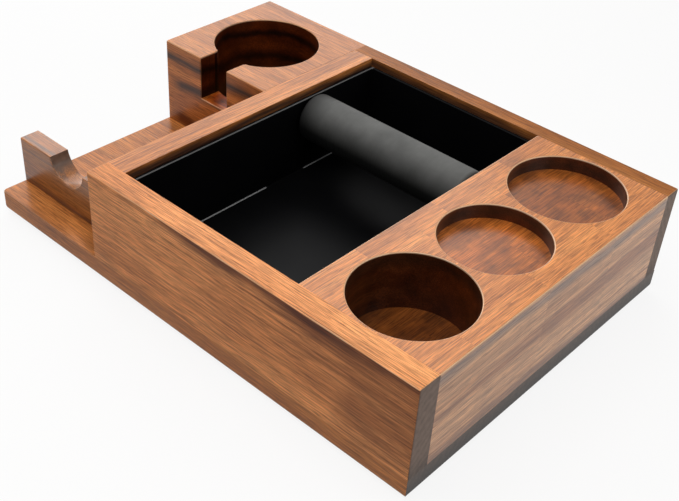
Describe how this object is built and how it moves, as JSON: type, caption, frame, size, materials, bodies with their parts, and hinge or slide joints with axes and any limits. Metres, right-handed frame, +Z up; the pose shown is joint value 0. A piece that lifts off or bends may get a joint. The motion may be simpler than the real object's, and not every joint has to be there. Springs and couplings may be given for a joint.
{
  "type": "espresso tamping station",
  "caption": "Wooden espresso tamping station with a notched handle rest, a portafilter well, a lift-out knock bin with a rubber bar, and round tool recesses.",
  "frame": {"origin": "middle of the footprint, at the height of the surface that the feet stand on", "axes": "+X along the long front face towards the tool recesses, +Y from the front to the rear, +Z up"},
  "size_m": [0.32, 0.226, 0.0718],
  "materials": {
    "walnut": "oiled satin, open grain",
    "beech": "bare turned wood",
    "black_plastic": "satin black",
    "sleeve_rubber": "matte dark grey",
    "foot_rubber": "matte black",
    "bar_steel": "drawn bar",
    "zinc_steel": "bright zinc plate"
  },
  "bodies": {
    "station": {"accessory_block": "walnut", "accessory_block_dowel_front_1": "beech", "accessory_block_dowel_front_2": "beech", "accessory_block_dowel_rear_1": "beech", "accessory_block_dowel_rear_2": "beech", "accessory_block_screw_1": "zinc_steel", "accessory_block_screw_2": "zinc_steel", "accessory_block_screw_3": "zinc_steel", "accessory_block_screw_4": "zinc_steel", "base_board": "walnut", "foot_front_left": "foot_rubber", "foot_front_right": "foot_rubber", "foot_rear_left": "foot_rubber", "foot_rear_right": "foot_rubber", "front_wall": "walnut", "front_wall_screw_1": "zinc_steel", "front_wall_screw_2": "zinc_steel", "front_wall_screw_3": "zinc_steel", "handle_rest": "walnut", "handle_rest_screw_1": "zinc_steel", "handle_rest_screw_2": "zinc_steel", "left_wall": "walnut", "left_wall_dowel_front_1": "beech", "left_wall_dowel_front_2": "beech", "left_wall_dowel_rear_1": "beech", "left_wall_dowel_rear_2": "beech", "left_wall_screw_1": "zinc_steel", "left_wall_screw_2": "zinc_steel", "portafilter_block": "walnut", "portafilter_block_dowel_1": "beech", "portafilter_block_dowel_2": "beech", "portafilter_block_screw_1": "zinc_steel", "portafilter_block_screw_2": "zinc_steel", "portafilter_block_screw_3": "zinc_steel", "portafilter_block_screw_4": "zinc_steel", "rear_wall": "walnut", "rear_wall_screw_1": "zinc_steel", "rear_wall_screw_2": "zinc_steel", "rear_wall_screw_3": "zinc_steel"},
    "bin": {"knock_bin": "black_plastic", "bar_sleeve": "sleeve_rubber", "bar_core": "bar_steel", "bar_screw_left": "zinc_steel", "bar_screw_right": "zinc_steel"}
  },
  "joints": [
    {"name": "bin_lift", "type": "slide", "parent": "station", "child": "bin", "axis": [0, 0, 1], "range_m": [0, 0.065]}
  ]
}
